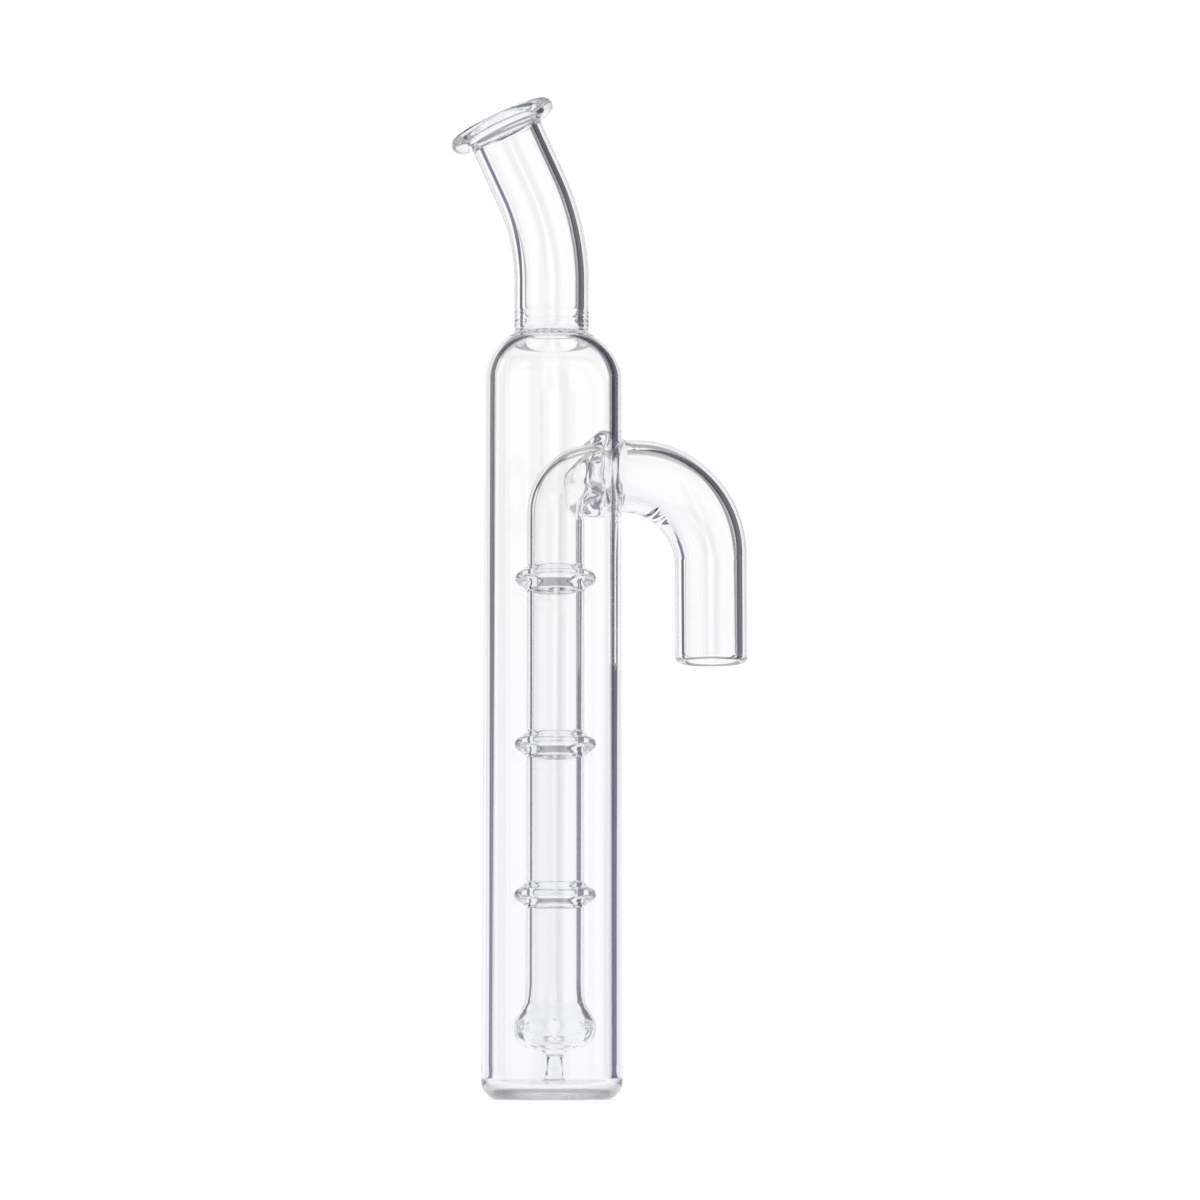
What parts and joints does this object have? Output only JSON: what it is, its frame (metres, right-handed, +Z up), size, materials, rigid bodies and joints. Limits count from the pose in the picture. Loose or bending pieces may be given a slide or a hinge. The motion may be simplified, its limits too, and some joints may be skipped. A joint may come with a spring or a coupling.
{
  "type": "glass bubbler tube",
  "caption": "Clear glass bubbler tube: upright water chamber with a bent, lipped neck, a bent side arm and a ringed inner downstem ending in a pierced bulb.",
  "frame": {"origin": "centre of the flat underside, on the chamber's axis", "axes": "+Z up along the chamber, +X towards the side arm; the neck leans towards -X"},
  "size_m": [0.0599, 0.026, 0.1889],
  "materials": {
    "tube_glass": "clear fire-polished tube",
    "worked_glass": "clear glass, thicker at welds and beads"
  },
  "bodies": {
    "root": {"chamber_base": "worked_glass", "base_button": "worked_glass", "chamber_tube": "tube_glass", "chamber_shoulder": "tube_glass", "neck_weld_ring": "worked_glass", "neck_tube": "tube_glass", "neck_lip": "worked_glass", "arm_weld_collar": "worked_glass", "side_arm": "tube_glass", "ring_seal": "worked_glass", "downstem_elbow": "tube_glass", "stem_ring_lower": "worked_glass", "stem_ring_middle": "worked_glass", "stem_ring_upper": "worked_glass", "stem_section_lower": "tube_glass", "stem_section_middle": "tube_glass", "stem_section_upper": "tube_glass", "diffuser_bulb": "worked_glass", "support_stub": "worked_glass"}
  },
  "joints": []
}
